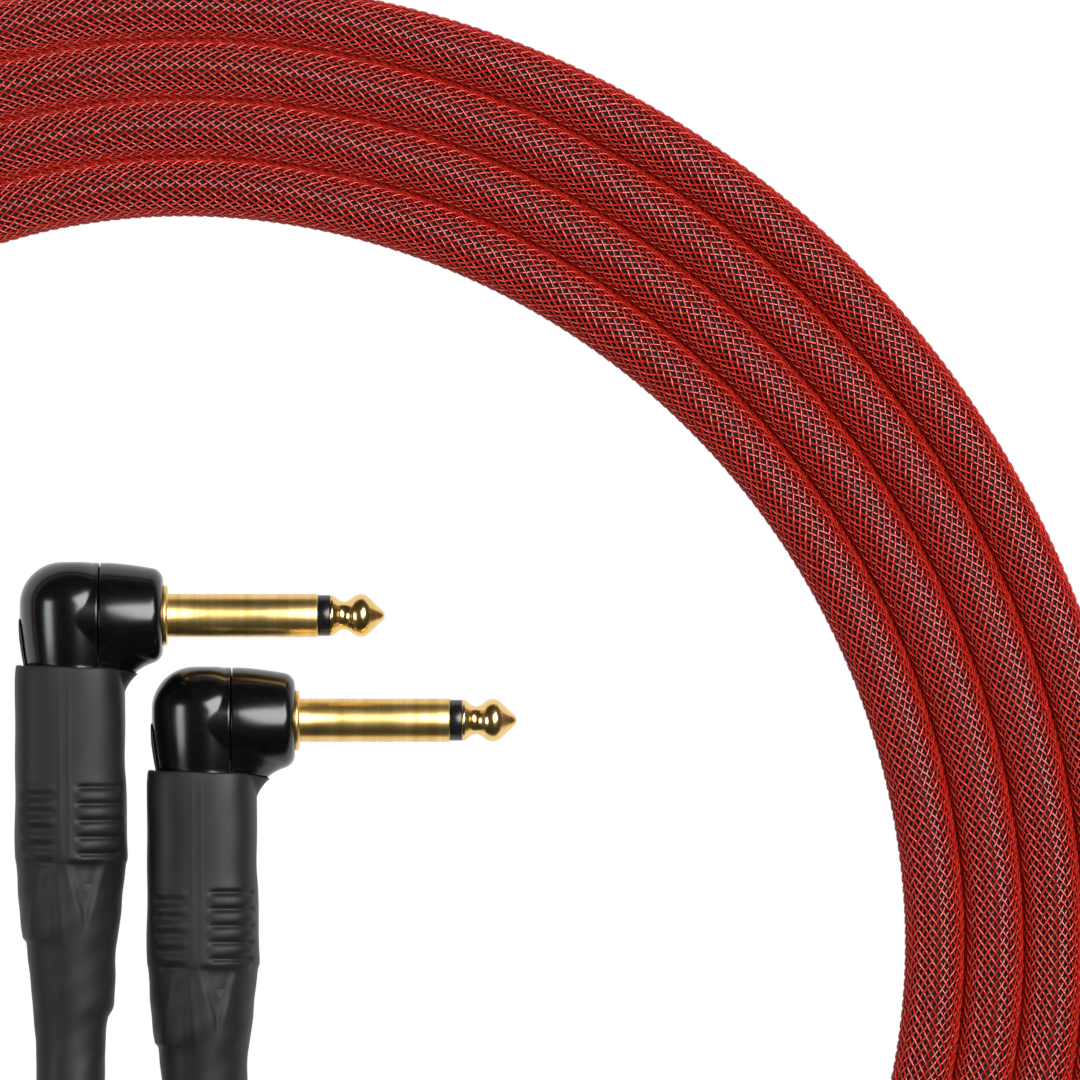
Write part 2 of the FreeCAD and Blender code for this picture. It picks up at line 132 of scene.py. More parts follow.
def smooth_curve(spots, steps):
    """Catmull-Rom through the spots, with that many steps between neighbours."""
    spots = np.array(spots, float)
    ends = np.vstack([2 * spots[0] - spots[1], spots, 2 * spots[-1] - spots[-2]])
    out = []
    for a, b, c, d in zip(ends, ends[1:], ends[2:], ends[3:]):
        for t in np.linspace(0, 1, steps, endpoint=False):
            bend = (2 * a - 5 * b + 4 * c - d) * t**2 + (3 * b - a - 3 * c + d) * t**3
            out.append(0.5 * (2 * b + (c - a) * t + bend))
    out.append(spots[-1])
    return np.array(out)


def lathe_x(profile, columns):
    """Rings of a shape turned about X, from a profile of (x, radius)."""
    profile = np.array(profile, float)
    turn = np.linspace(0, 2 * math.pi, columns, endpoint=False)
    rings = np.empty((len(profile), columns, 3))
    rings[..., 0] = profile[:, :1]
    rings[..., 1] = profile[:, 1:] * np.cos(turn)
    rings[..., 2] = profile[:, 1:] * np.sin(turn)
    return rings


# ---------------------------------------------------------------- the cable's route

LEAD_A = [
    (PLUGS["a"][0], SLEEVE_END["a"], AXIS_HEIGHT),
    (-0.0286, -0.0465, 0.0066),
    (-0.0266, -0.0610, 0.0047),
    (-0.0201, -0.0750, 0.00435),
    (-0.0096, -0.0865, 0.00435),
    (0.0044, -0.0940, 0.00435),
    (0.0199, -0.0967, 0.00435),
]
LEAD_B = [
    (-0.1021, -0.0638, 0.00435),
    (-0.0928, -0.0781, 0.00435),
    (-0.0827, -0.0901, 0.0049),
    (-0.0691, -0.0980, 0.0072),
    (-0.0537, -0.1007, 0.0114),
    (-0.0382, -0.0980, 0.0141),
    (-0.0246, -0.0901, 0.0142),
    (-0.0145, -0.0781, 0.0143),
    (-0.0092, -0.0633, 0.0106),
    (PLUGS["b"][0], SLEEVE_END["b"], AXIS_HEIGHT),
]
COIL_FIRST = 300.0  # degrees, where lead A has joined the innermost strand
COIL_LAST = 1635.0  # degrees, just before lead B leaves the outermost strand
COIL_STEP = 15.0
SHIFT_FROM, SHIFT_TO = 255.0, 292.0  # each turn moves out by one strand between these angles
DRIFT_FROM, DRIFT_OVER = 1605.0, 45.0  # degrees, where the loose end starts to leave the coil
DRIFT_BY = 0.35  # strands
PRESS_FROM = 0.1  # how far round from the pressed side the coil starts to leave its circle
JACKET_STEP = 1.2 * MM


def eased(t):
    """From 0 to 1, slow at both ends."""
    t = min(1.0, max(0.0, t))
    return t * t * (3 - 2 * t)


def coil_lane(degrees):
    """Which strand the cable is at, counted from the innermost, at an angle that keeps growing."""
    turns = math.floor(degrees / 360)
    within = degrees - 360 * turns
    lane = turns - 1 + eased((within - SHIFT_FROM) / (SHIFT_TO - SHIFT_FROM))
    return max(0.0, lane) + DRIFT_BY * eased((degrees - DRIFT_FROM) / DRIFT_OVER)


def coil_point(degrees):
    """A control point of the coil, a little outside the curve that it makes."""
    away = math.cos(math.radians(degrees - COIL_FLAT_AT))
    press = max(0.0, ((1 + away) / 2 - PRESS_FROM) / (1 - PRESS_FROM)) ** 2
    radius = COIL_RADIUS + coil_lane(degrees) * 2 * CABLE_RADIUS - COIL_FLAT * press
    radius /= math.cos(math.radians(COIL_STEP / 2))
    turn = math.radians(degrees)
    return (
        COIL_CENTRE[0] + radius * math.cos(turn),
        COIL_CENTRE[1] + radius * math.sin(turn),
        CABLE_RADIUS,
    )


def route_curve():
    """The whole cable's centre line as one NURBS spline, read back as points."""
    coil = [coil_point(d) for d in np.arange(COIL_FIRST, COIL_LAST + 1, COIL_STEP)]
    spots = LEAD_A + coil + LEAD_B
    data = bpy.data.curves.new("route", "CURVE")
    data.dimensions = "3D"
    data.resolution_u = 16
    spline = data.splines.new("NURBS")
    spline.points.add(len(spots) - 1)
    for point, spot in zip(spline.points, spots):
        point.co = (*spot, 1.0)
    spline.order_u = 3
    spline.use_endpoint_u = True
    holder = bpy.data.objects.new("route", data)
    bpy.context.collection.objects.link(holder)
    bpy.context.view_layer.update()
    graph = bpy.context.evaluated_depsgraph_get()
    mesh = bpy.data.meshes.new_from_object(holder.evaluated_get(graph), depsgraph=graph)
    points = np.array([v.co for v in mesh.vertices])
    bpy.data.meshes.remove(mesh)
    bpy.data.objects.remove(holder)
    bpy.data.curves.remove(data)
    return points


def spaced(points, step):
    """The same line with points an even distance apart, and the distance of each."""
    along = np.concatenate([[0], np.cumsum(np.linalg.norm(np.diff(points, axis=0), axis=1))])
    count = int(round(along[-1] / step)) + 1
    at = np.linspace(0, along[-1], count)
    return np.stack([np.interp(at, along, points[:, i]) for i in range(3)], axis=1), at


def frames_along(points):
    """Unit directions along the line, across it level with the surface, and up from it."""
    ahead = np.gradient(points, axis=0)
    ahead /= np.linalg.norm(ahead, axis=1)[:, None]
    across = np.cross(ahead, (0.0, 0.0, 1.0))
    across /= np.linalg.norm(across, axis=1)[:, None]
    up = np.cross(across, ahead)
    return ahead, across, up


# ---------------------------------------------------------------- the braided cable

JACKET_RADIUS = 3.82 * MM
FILAMENTS = 24  # in each direction round the cable
FILAMENT_RADIUS = 0.165 * MM
BRAID_RADIUS = 4.16 * MM
BRAID_LEAD = 38.4 * MM  # the length of one turn of a filament
GROUPS = 5  # pieces in each direction, so that each stays small
CELL = BRAID_LEAD / FILAMENTS / 2  # the distance between crossings along the cable
WEAVE_REACH = 0.95  # how far a filament moves in or out, in its own radii
JACKET_COLUMNS = 24


def round_rings(points, across, up, radius, columns):
    """A round ring about each point, square to the line."""
    turn = np.linspace(0, 2 * math.pi, columns, endpoint=False)
    ring = np.cos(turn)[None, :, None] * across[:, None, :] + np.sin(turn)[None, :, None] * up[:, None, :]
    return points[:, None, :] + radius * ring


def make_jacket(points):
    """The black jacket that shows through the braid."""
    spots, _ = spaced(points, JACKET_STEP)
    _, across, up = frames_along(spots)
    rings = round_rings(spots, across, up, JACKET_RADIUS, JACKET_COLUMNS)
    mesh = mesh_of_quads("cable_jacket", rings.reshape(-1, 3), tube_quads(len(spots), JACKET_COLUMNS))
    return link("cable_jacket", mesh)


def filament_rings(spots, along, ahead, across, up, number, way):
    """One filament: over two, under two, the crossings being at the spots."""
    station = np.arange(len(spots))
    other = number + way * station
    over = np.where((number + other) % 4 < 2, 1.0, -1.0) * way
    reach = BRAID_RADIUS + over * FILAMENT_RADIUS * WEAVE_REACH
    angle = 2 * math.pi * (number / FILAMENTS + way * along / BRAID_LEAD)
    out = np.cos(angle)[:, None] * across + np.sin(angle)[:, None] * up
    round_ = -np.sin(angle)[:, None] * across + np.cos(angle)[:, None] * up
    slope = 2 * math.pi * BRAID_RADIUS / BRAID_LEAD * way
    run = ahead + slope * round_
    run /= np.linalg.norm(run, axis=1)[:, None]
    side = np.cross(run, out)
    centre = spots + reach[:, None] * out
    corners = [out, side, -out, -side]
    return np.stack([centre + FILAMENT_RADIUS * c for c in corners], axis=1)


def make_braid(points):
    """The red braid, as real filaments."""
    spots, _ = spaced(points, CELL)
    along = np.arange(len(spots)) * CELL
    directions = frames_along(spots)
    pieces = []
    for way, side in ((1, "left"), (-1, "right")):
        for group in range(GROUPS):
            members = range(group, FILAMENTS, GROUPS)
            rings = [filament_rings(spots, along, *directions, number, way) for number in members]
            sides = rings[0].shape[1]
            size = len(spots) * sides
            quads = np.concatenate(
                [tube_quads(len(spots), sides, offset=i * size) for i in range(len(rings))])
            name = f"braid_{side}_{group + 1}"
            mesh = mesh_of_quads(name, np.concatenate([r.reshape(-1, 3) for r in rings]), quads)
            pieces.append(link(name, mesh))
    return pieces


route = route_curve()
jacket = make_jacket(route)
braid = make_braid(route)
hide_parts("cable_lead_a", "cable_coil", "cable_lead_b")


# ---------------------------------------------------------------- the housings' shape

# Millimetres from here to the materials, in the plug's frame: X along the shaft, -Y along the sleeve.
ELBOW = 7.8  # radius of the upright
NECK = 6.9  # radius of the upright at the sleeve
NARROW_FROM, NARROW_OVER = 0.6, 7.88  # where the upright starts to narrow, and over what length
DOME_TOP, DOME_ROUND = 7.87, 6.3
BARREL = 7.75  # radius of the barrel
BARREL_DROP, BARREL_FROM, BARREL_OVER = 0.95, 5.0, 7.5  # how much it narrows, from where, over what length
BARREL_ROUND = 1.5
NARROWING = 1.5  # power: more than one narrows more steeply at the end
SEAM = 3.97
SEAM_HALF = 0.11
FACE = 13.24
FACE_FROM = 11.7  # where the barrel starts to round over to its face
BORE = 4.3  # radius of the shaft's place in the face
HOLLOW = 5.6  # radius of the hollow round under the barrel
HOLLOW_HALF = 7.2  # it fades out at this height above and below the axis
HOLLOW_LEAST = 0.02
SLICE_MIDDLE = -1.0  # the Y that a slice's rays start from
SLICE_FLOOR = -9.3  # the housing is cut off here, inside the sleeve
SLICE_REACH = 16.0
SLICE_RAYS = 720
HALVINGS = 36  # each one halves the error of a ray's end
SEAM_EDGE = [(0.0, 0.4), (0.0, 0.15), (0.01, 0.07), (0.05, 0.02)]  # away from the seam, and the inset there
EDGE_END = 0.12  # the seam's rounded edge is over at this distance


def rounded_limit(a, b, radius):
    """Inside both a and b, with the edge between them rounded."""
    a = a + radius
    b = b + radius
    return np.hypot(np.maximum(a, 0), np.maximum(b, 0)) + np.minimum(np.maximum(a, b), 0) - radius


def upright_radius(y):
    """The upright narrows towards the sleeve, more steeply the nearer it is."""
    return ELBOW - np.clip((NARROW_FROM - y) / NARROW_OVER, 0, 1) ** NARROWING * (ELBOW - NECK)


def upright(x, y, z):
    """The elbow's upright, domed at its closed end."""
    return rounded_limit(np.hypot(x, z) - upright_radius(y), y - DOME_TOP, DOME_ROUND)


def barrel(x, y, z):
    """The barrel round the shaft, narrower towards its face."""
    narrowing = BARREL_DROP * np.clip((x - BARREL_FROM) / BARREL_OVER, 0, 1.2) ** NARROWING
    return rounded_limit(np.hypot(y, z) - (BARREL - narrowing), x - FACE, BARREL_ROUND)


def elbow(x, y, z):
    """The whole elbow: upright and barrel, with a large hollow round under the barrel."""
    a = upright(x, y, z)
    b = np.maximum(barrel(x, y, z), -x)
    low = np.clip((x - 2.5) / 3.0, 0, 1) * np.clip((-y - 2.0) / 3.0, 0, 1)
    round_ = HOLLOW * low * np.clip(1 - (z / HOLLOW_HALF) ** 2, 0, 1) + HOLLOW_LEAST
    reach = np.hypot(np.maximum(round_ - a, 0), np.maximum(round_ - b, 0))
    hollow = np.maximum(round_, np.minimum(a, b)) - reach
    return np.minimum(np.minimum(a, b), hollow)


def slice_ring(x, inset, columns):
    """One slice of the elbow at x, as evenly spaced points round it."""
    rays = np.linspace(0, 2 * math.pi, SLICE_RAYS, endpoint=False)
    ray_y = np.cos(rays)
    ray_z = np.sin(rays)
    near = np.zeros_like(rays)
    far = np.full_like(rays, SLICE_REACH)
    for _ in range(HALVINGS):
        mid = (near + far) / 2
        y = SLICE_MIDDLE + mid * ray_y
        z = mid * ray_z
        inside = np.maximum(elbow(np.full_like(y, x), y, z) + inset, SLICE_FLOOR - y) < 0
        near = np.where(inside, mid, near)
        far = np.where(inside, far, mid)
    y = SLICE_MIDDLE + near * ray_y
    z = near * ray_z
    closed_y = np.append(y, y[0])
    closed_z = np.append(z, z[0])
    along = np.concatenate([[0], np.cumsum(np.hypot(np.diff(closed_y), np.diff(closed_z)))])
    at = np.linspace(0, along[-1], columns, endpoint=False)
    ring_y = np.interp(at, along, closed_y)
    ring_z = np.interp(at, along, closed_z)
    return np.stack([np.full(columns, x), ring_y, ring_z], axis=1)


def housing_rings(cuts, columns=224):
    """Rings of the elbow's surface at each (x, inset)."""
    return np.array([slice_ring(x, inset, columns) for x, inset in cuts])


def closed_in(rings, towards):
    """Adds a last ring drawn in to a point, which closes the shape."""
    return np.concatenate([rings, np.broadcast_to(towards, rings[:1].shape)])


def rear_cuts():
    """From the elbow's back to the seam."""
    edge = SEAM - SEAM_HALF
    turn = np.radians(np.linspace(3, 90, 60))
    cuts = [(-ELBOW * math.cos(t), 0.0) for t in turn]
    cuts += [(x, 0.0) for x in np.linspace(0.15, edge - EDGE_END, 16)]
    return cuts + [(edge - away, inset) for away, inset in reversed(SEAM_EDGE)]


def front_cuts():
    """From the seam to the barrel's face."""
    edge = SEAM + SEAM_HALF
    cuts = [(edge + away, inset) for away, inset in SEAM_EDGE]
    cuts += [(x, 0.0) for x in np.linspace(edge + EDGE_END, 11.6, 34)]
    turn = np.radians(np.linspace(4, 88, 26))
    return cuts + [(FACE_FROM + (FACE - FACE_FROM) * math.sin(t), 0.0) for t in turn]


def make_housings(letter):
    """The two halves of the elbow, each a skin through slices along X."""
    rear = housing_rings(rear_cuts())
    rear = closed_in(rear[::-1], (-ELBOW, SLICE_MIDDLE, 0.0))[::-1]
    front = housing_rings(front_cuts())
    turn = np.linspace(0, 2 * math.pi, front.shape[1], endpoint=False)
    rim = np.stack([np.full_like(turn, FACE), BORE * np.cos(turn), BORE * np.sin(turn)], axis=1)
    front = np.concatenate([front, rim[None]])
    pieces = []
    for half, rings in (("rear", rear), ("front", front)):
        name = f"elbow_{half}_{letter}"
        piece = link(name, skin(name, rings, place=PLUGS[letter]))
        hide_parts(f"{half}_housing_{letter}")
        pieces.append(piece)
    return pieces


# ---------------------------------------------------------------- contacts

# Profiles of (x, radius).
TIP_COLLAR = [(37.86, 1.3), (37.86, 2.92), (37.92, 3.0)]
TIP_HEAD = [
    (38.2, 3.0), (38.75, 2.6), (39.35, 2.17), (39.95, 2.04), (40.6, 2.27), (41.4, 2.86),
    (42.1, 3.11), (42.75, 3.1), (43.35, 2.8), (44.1, 2.1), (44.85, 1.38), (45.4, 0.86),
    (45.75, 0.45), (45.88, 0.01),
]
RING = [(36.05, 1.4), (36.05, 2.95), (36.12, 3.0), (37.74, 3.0), (37.82, 2.95), (37.82, 1.4)]
SHAFT = [
    (13.1, 3.0), (13.1, 4.2), (13.22, 4.4), (13.6, 4.4), (13.8, 4.33), (13.9, 4.15), (13.9, 3.3),
    (13.95, 3.2), (14.05, 3.175), (20.0, 3.175), (28.0, 3.175), (35.85, 3.175), (35.97, 3.15),
    (36.03, 3.06), (36.03, 2.2),
]


def turned(kind, letter, profile, node, columns=96):
    """A piece turned about the plug's axis, in place of a CAD node."""
    name = f"{kind}_{letter}"
    piece = link(name, skin(name, lathe_x(profile, columns), place=PLUGS[letter]))
    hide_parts(f"{node}_{letter}")
    return piece


def make_contacts(letter):
    """The tip, its ring, and the shaft with its flange."""
    tip = TIP_COLLAR + list(smooth_curve(TIP_HEAD, 5))
    return (
        turned("tip", letter, tip, "tip_contact"),
        turned("ring", letter, RING, "tip_insulator_ring"),
        turned("shaft", letter, SHAFT, "sleeve_contact", columns=128),
    )


# ---------------------------------------------------------------- heat-shrink sleeve over the boot

SLEEVE_ROWS = [
    # along -Y from the plug's axis, left edge, right edge
    (7.28, -8.35, 7.4),
    (9.0, -8.5, 7.55),
    (12.4, -8.5, 7.65),
    (21.3, -8.45, 7.65),
    (25.0, -8.45, 7.8),
    (33.0, -8.55, 8.0),
    (35.6, -8.5, 8.05),
    (37.0, -8.3, 7.75),
    (41.8, -8.0, 7.25),
    (45.5, -7.65, 6.9),
    (49.0, -7.1, 6.35),
    (53.6, -6.5, 5.95),
    (57.0, -6.0, 5.6),
    (60.5, -5.6, 5.0),
    (64.0, -5.42, 4.75),
    (69.0, -5.38, 4.72),
    (75.3, -5.3, 4.8),
]
SLEEVE_TOP, SLEEVE_TAIL = 7.28, 75.3
SLEEVE_WALL = 0.45
FLARE_END = 14.0
FLARE_GAP = 0.38  # between the elbow and the sleeve's outside
RIB_FIRST = 25.1
RIB_STEP = 2.44
RIBS = 5
FACET_TOP = 36.0  # the V-shaped facet runs from here
STEP_AT = 47.7  # to the boot's step


def bell(t, width):
    """One at zero, falling smoothly to nothing each way."""
    return np.exp(-((t / width) ** 2))


def window(t, low, high, fade):
    """One between low and high, falling softly to nothing outside."""
    up = np.clip((t - low) / fade + 0.5, 0, 1)
    down = np.clip((high - t) / fade + 0.5, 0, 1)
    return soft(up * down)


def soft(t):
    return t * t * (3 - 2 * t)


def ribs(along, angle):
    """The boot's ribs as they show through: sharp grooves at the right, soft ones at the left."""
    push = np.zeros_like(along)
    right_panel = window(angle, 10.0, 58.0, 11.0)
    left_panel = window(angle, -50.0, -17.0, 12.0)
    for rib in range(RIBS):
        at = RIB_FIRST + rib * RIB_STEP
        push -= 0.36 * right_panel * bell(along - at, 0.42)
        push += 0.14 * right_panel * bell(along - at - RIB_STEP / 2, 0.75)
        push -= 0.26 * left_panel * bell(along - at - 1.3, 0.7)
        push += 0.12 * left_panel * bell(along - at - 0.1, 0.6)
    return push


def facet(along, across, angle, face):
    """The facet pressed into the boot below the ribs, narrowing to a point, with a ridge each side."""
    near = np.abs(angle) < 88
    spread = np.clip((STEP_AT - 0.2 - along) / (STEP_AT - 35.6), 0, 1)
    tip_at, out_left, out_right = (2.5, 3.4, 3.2) if face == 0.0 else (-2.5, 3.2, 3.4)
    from_left = across - (tip_at - out_left * spread)
    from_right = (tip_at + out_right * spread) - across
    inside = soft(np.clip(np.minimum(from_left, from_right) / 1.3, 0, 1) * near)
    tent = np.clip((along - FACET_TOP) / (STEP_AT - FACET_TOP), 0, 1)
    ridges = bell(across - (tip_at - 4.6 + 1.2 * tent), 0.75)
    ridges = ridges + bell(across - (tip_at - 6.2 - 2.2 * tent), 0.75)
    return (0.15 * ridges * near * window(along, 37.5, STEP_AT, 4.0)
            - 0.34 * inside * window(along, FACET_TOP, STEP_AT, 1.2))


def step_and_creases(along, across, turn, above):
    """The boot's step at both edges, fine creases along the top and a slight unevenness all over."""
    side = np.degrees(turn)
    below_step = np.clip((along - STEP_AT) / 0.6 + 0.5, 0, 1) * np.clip((58.0 - along) / 9.0, 0, 1)
    push = -0.4 * bell(side - 270.0, 42.0) * below_step
    above_step = np.clip((along - 49.0) / 8.0, 0, 1) * np.clip((58.4 - along) / 1.2 + 0.5, 0, 1)
    push += 0.45 * bell(side - 90.0, 40.0) * above_step
    push += 0.05 * bell(across + 2.6, 0.22) * window(along, 37.0, 60.0, 6.0) * above
    folds = bell(across + 1.25, 0.16) + bell(across - 0.1, 0.16)
    push += 0.035 * folds * window(along, 9.0, FACET_TOP, 5.0) * above
    push += 0.05 * np.sin(along * 0.55 + 2.0 * np.sin(turn * 2)) * np.sin(turn * 3 + along * 0.11)
    push += 0.03 * np.sin(along * 1.3 + turn * 5) * window(along, 37.0, 66.0, 8.0)
    return push


def sleeve_surface(along, turn):
    """Points of the sleeve's outside: turn is 0 at the top, +90 degrees at +X."""
    table = smooth_curve(SLEEVE_ROWS, 8)
    left = np.interp(along, table[:, 0], table[:, 1])
    right = np.interp(along, table[:, 0], table[:, 2])
    half = (right - left) / 2
    boxy = 2 + 0.9 * np.clip((FACET_TOP - along) / 6.0, 0, 1)  # two is round, more is squarer
    sine = np.sin(turn)
    cosine = np.cos(turn)
    radius = (np.abs(sine) ** boxy + np.abs(cosine) ** boxy) ** (-1 / boxy)
    x = radius * sine * half
    z = radius * cosine * half * 0.94
    size = np.hypot(x, z)
    push = step_and_creases(along, x, turn, z > 0)
    for face in (0.0, 180.0):
        angle = (np.degrees(turn) - face + 180.0) % 360.0 - 180.0
        push += ribs(along, angle) + facet(along, x, angle, face)
    grow = (size + push) / size
    return (left + right) / 2 + x * grow, z * grow


def flare(along, x, z):
    """Near its top the sleeve follows the hollow round under the barrel."""
    angle = np.arctan2(x, z)
    near = np.full_like(x, 3.0)
    far = np.full_like(x, 14.0)
    for _ in range(30):
        mid = (near + far) / 2
        inside = elbow(mid * np.sin(angle), -along, mid * np.cos(angle)) - FLARE_GAP < 0
        near = np.where(inside, mid, near)
        far = np.where(inside, far, mid)
    plain = np.hypot(x, z)
    radius = np.where(along < FLARE_END, np.maximum(near, plain), plain)
    return radius * np.sin(angle), radius * np.cos(angle)


def sleeve_rows():
    """Distances along the sleeve, closer together where its shape is finer."""
    return np.concatenate([
        SLEEVE_TOP + np.array([0.0, 0.04, 0.1, 0.2]),
        np.arange(7.7, 24.0, 0.45),
        np.arange(24.0, 38.0, 0.13),
        np.arange(38.0, 46.5, 0.25),
        np.arange(46.5, 49.5, 0.12),
        np.arange(49.5, SLEEVE_TAIL - 0.2, 0.5),
        SLEEVE_TAIL - np.array([0.15, 0.06, 0.0]),
    ])


def drawn_in(x, z, by):
    """How much nearer to the middle a point lies when it is moved in by a distance."""
    return 1 - by / np.hypot(x, z)


def sleeve_rings(columns=224):
    """The outside from the top down, then the inside back up."""
    along = sleeve_rows()
    turn = np.linspace(0, 2 * math.pi, columns, endpoint=False)
    grid_along, grid_turn = np.meshgrid(along, turn, indexing="ij")
    settle = np.exp(-(grid_along - SLEEVE_TOP) / 2.6)
    wave = 0.1 * np.sin(grid_turn * 2 + 0.6) + 0.05 * np.sin(grid_turn * 5) + 0.12
    droop = 1.15 * bell(np.degrees(grid_turn) - 90.0, 34.0)
    grid_along = grid_along + (wave + droop) * settle
    x, z = sleeve_surface(grid_along, grid_turn)
    x, z = flare(grid_along, x, z)
    lip = np.interp(along, [SLEEVE_TOP, 7.38, 7.5], [0.22, 0.05, 0.0])
    lip += np.interp(along, [75.0, 75.2, SLEEVE_TAIL], [0.0, 0.06, 0.2])
    shrink = drawn_in(x, z, lip[:, None])
    outer = np.stack([x * shrink, -grid_along, z * shrink], axis=-1)
    inner = outer[::8].copy()
    inner[..., ::2] *= drawn_in(inner[..., 0], inner[..., 2], SLEEVE_WALL)[..., None]
    return np.concatenate([outer, inner[::-1]])


def make_sleeve(letter):
    name = f"shrink_sleeve_{letter}"
    piece = link(name, skin(name, sleeve_rings()[::-1], wrap_rows=True, place=PLUGS[letter]))
    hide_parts(f"heat_shrink_sleeve_{letter}")
    return piece


TONGUE_TOP, TONGUE_LENGTH = -0.5, 7.4
TONGUE_HALF, TONGUE_THICK = 1.6, 0.34


def tongue_ring(t):
    """The tongue's outline at a share t of its length, thin and narrow at its free end."""
    y = TONGUE_TOP - TONGUE_LENGTH * t
    inner = 0.02 - float(upright_radius(y))
    thick = TONGUE_THICK * min(1.0, 0.35 + 1.6 * t)
    wide = TONGUE_HALF * math.sqrt(min(1.0, 0.25 + 5 * t))
    back = inner - thick - 0.1 * (1 - t)
    half = [(inner, wide), (inner - 0.08, wide), (back + 0.05, wide - 0.1), (back, wide - 0.25)]
    outline = half + [(back, 0.0)] + [(x, -z) for x, z in reversed(half)] + [(inner + 0.05, 0.0)]
    return [(x, y, z) for x, z in outline]


def make_tongue(letter):
    """The thin tongue on the elbow's back, bent to lie along it."""
    rings = np.array([tongue_ring(t) for t in np.linspace(0, 1, 24)])
    caps = rings.mean(axis=1, keepdims=True).repeat(rings.shape[1], axis=1)
    closed = np.concatenate([caps[:1], rings, caps[-1:]])
    piece = link(f"tongue_{letter}", skin(f"tongue_{letter}", closed[::-1], place=PLUGS[letter]))
    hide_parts(f"retaining_tongue_{letter}")
    return piece


# ---------------------------------------------------------------- materials

def new_material(name, colour, roughness, metallic=0.0, **extra):
    """A material with its Principled shader's constant values set."""
    material = bpy.data.materials.new(name)
    material.use_nodes = True
    shader = material.node_tree.nodes["Principled BSDF"]
    shader.inputs["Base Color"].default_value = (*colour, 1.0)
    shader.inputs["Roughness"].default_value = roughness
    shader.inputs["Metallic"].default_value = metallic
    for socket, value in extra.items():
        shader.inputs[socket.replace("_", " ")].default_value = value
    return material, material.node_tree, shader


def noise(tree, scale, detail=3.0, stretch=(1.0, 1.0, 1.0)):
    """Noise in the object's own coordinates."""
    place = tree.nodes.new("ShaderNodeTexCoord")
    mapping = tree.nodes.new("ShaderNodeMapping")
    mapping.inputs["Scale"].default_value = stretch
    texture = tree.nodes.new("ShaderNodeTexNoise")
    texture.inputs["Scale"].default_value = scale
    texture.inputs["Detail"].default_value = detail
    tree.links.new(place.outputs["Object"], mapping.inputs["Vector"])
    tree.links.new(mapping.outputs["Vector"], texture.inputs["Vector"])
    return texture.outputs["Fac"]


def ramp(tree, source, low, high, start=0.3, end=0.7):
    """Two colours, or two greys, by a value."""
    node = tree.nodes.new("ShaderNodeValToRGB")
    node.color_ramp.elements[0].position = start
    node.color_ramp.elements[1].position = end
    node.color_ramp.elements[0].color = (*low, 1.0)
    node.color_ramp.elements[1].color = (*high, 1.0)
    tree.links.new(source, node.inputs["Fac"])
    return node.outputs["Color"]


def bump(tree, shader, source, strength, distance):
    """Raises the surface by a value."""
    node = tree.nodes.new("ShaderNodeBump")
    node.inputs["Strength"].default_value = strength
    node.inputs["Distance"].default_value = distance
    tree.links.new(source, node.inputs["Height"])
    tree.links.new(node.outputs["Normal"], shader.inputs["Normal"])


def grey(value):
    return (value, value, value)


def make_gold():
    """Gold plate on a turned shaft: fine marks round it, and a little unevenness in its shine."""
    material, tree, shader = new_material("gold", (0.83, 0.61, 0.24), 0.24, metallic=1.0)
    marks = noise(tree, 900.0, 4.0, stretch=(1.0, 0.02, 0.02))
    patches = noise(tree, 120.0, 3.0)
    tree.links.new(ramp(tree, patches, grey(0.28), grey(0.38)), shader.inputs["Roughness"])
    tree.links.new(ramp(tree, marks, (0.74, 0.47, 0.13), (0.92, 0.66, 0.26)), shader.inputs["Base Color"])
    bump(tree, shader, marks, 0.5, 0.00003)
    return material


def make_gold_tip():
    material, tree, shader = new_material("gold_tip", (0.86, 0.63, 0.25), 0.12, metallic=1.0)
    marks = noise(tree, 500.0, 3.0, stretch=(1.0, 0.05, 0.05))
    tree.links.new(ramp(tree, marks, grey(0.18), grey(0.26)), shader.inputs["Roughness"])
    tree.links.new(ramp(tree, marks, (0.82, 0.56, 0.18), (0.90, 0.65, 0.27)), shader.inputs["Base Color"])
    return material


def make_gloss_black():
    """Lacquered die-cast metal: deep black with a faint unevenness."""
    material, tree, shader = new_material("gloss_black", grey(0.004), 0.22)
    peel = noise(tree, 900.0, 2.0)
    tree.links.new(ramp(tree, noise(tree, 160.0), grey(0.17), grey(0.23)), shader.inputs["Roughness"])
    tree.links.new(ramp(tree, peel, grey(0.001), grey(0.003)), shader.inputs["Base Color"])
    bump(tree, shader, peel, 0.06, 0.00004)
    return material


def make_ring_black():
    material, tree, shader = new_material("ring_black", grey(0.006), 0.28)
    tree.links.new(ramp(tree, noise(tree, 700.0), grey(0.004), grey(0.01)), shader.inputs["Base Color"])
    return material


def make_shrink():
    """Satin heat-shrink: fine grain, mottled sheen and a few light specks."""
    material, tree, shader = new_material("heat_shrink", grey(0.028), 0.5)
    grain = noise(tree, 2600.0, 3.0)
    mottle = noise(tree, 90.0, 5.0, stretch=(1.0, 0.45, 1.0))
    shade = ramp(tree, mottle, (0.006, 0.007, 0.006), (0.013, 0.014, 0.012))
    tree.links.new(shade, shader.inputs["Base Color"])
    tree.links.new(ramp(tree, mottle, grey(0.46), grey(0.60)), shader.inputs["Roughness"])
    shader.inputs["Specular IOR Level"].default_value = 0.3
    bump(tree, shader, grain, 0.25, 0.00004)
    return material


def make_tongue_black():
    material, tree, shader = new_material("tongue_black", grey(0.006), 0.4)
    tree.links.new(ramp(tree, noise(tree, 800.0), grey(0.004), grey(0.011)), shader.inputs["Base Color"])
    return material


